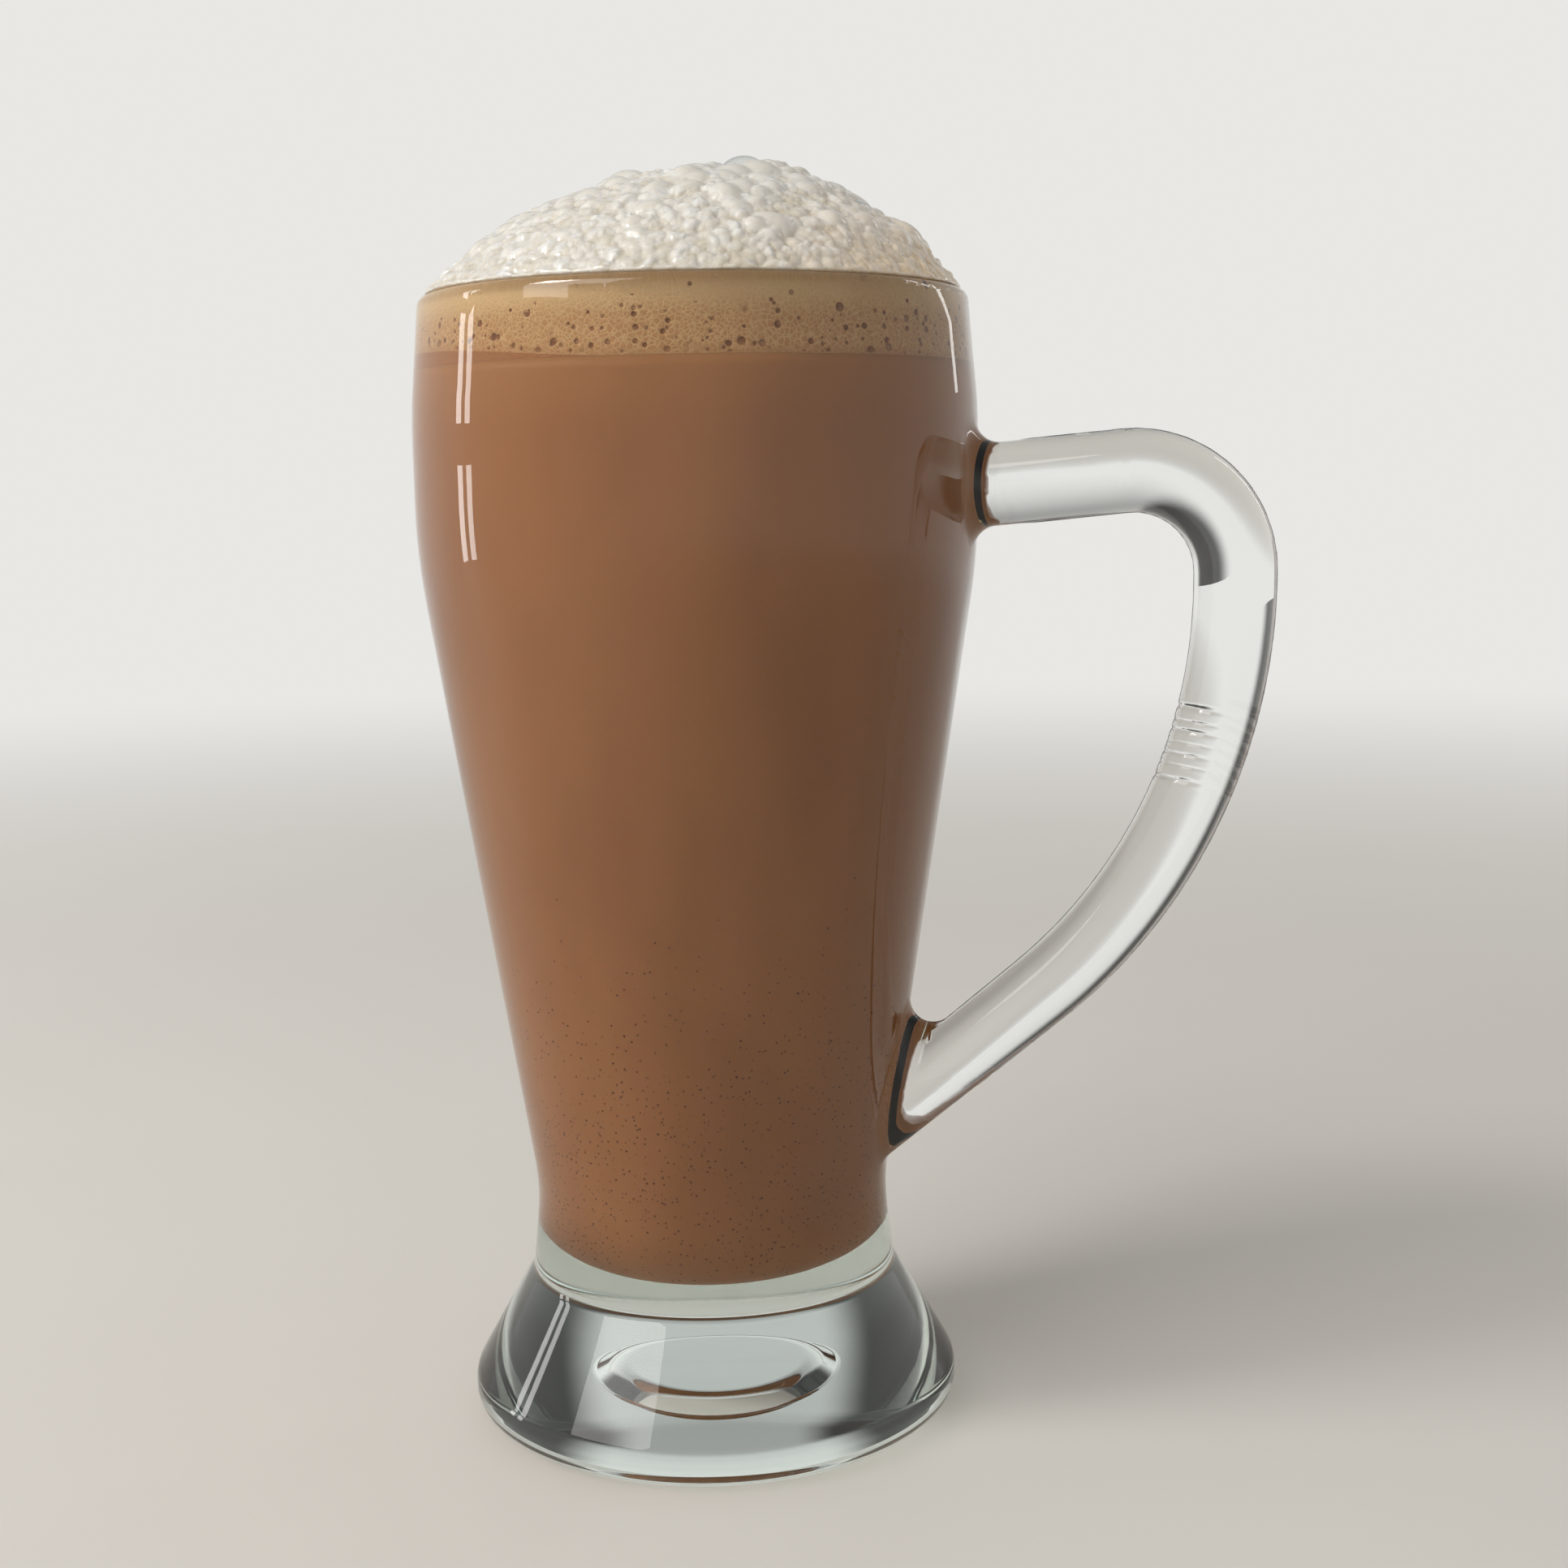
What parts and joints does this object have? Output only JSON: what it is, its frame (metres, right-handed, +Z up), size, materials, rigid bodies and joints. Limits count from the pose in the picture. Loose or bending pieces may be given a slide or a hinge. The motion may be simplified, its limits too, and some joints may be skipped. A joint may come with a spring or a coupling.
{
  "type": "teh tarik",
  "caption": "Footed clear glass mug with a side handle, filled with milk tea under a dome of froth that rises above the rim.",
  "frame": {"origin": "on the mug's axis, in the plane of the table under its foot", "axes": "+Z up along the mug's axis, +X from the axis towards the handle"},
  "size_m": [0.1122, 0.0742, 0.167],
  "materials": {
    "glass": "clear, smooth, pressed",
    "tea": "opaque milky liquid",
    "froth": "wet foam of fine and coarse bubbles"
  },
  "bodies": {
    "root": {"glass_mug": "glass", "tea": "tea", "froth": "froth"}
  },
  "joints": []
}
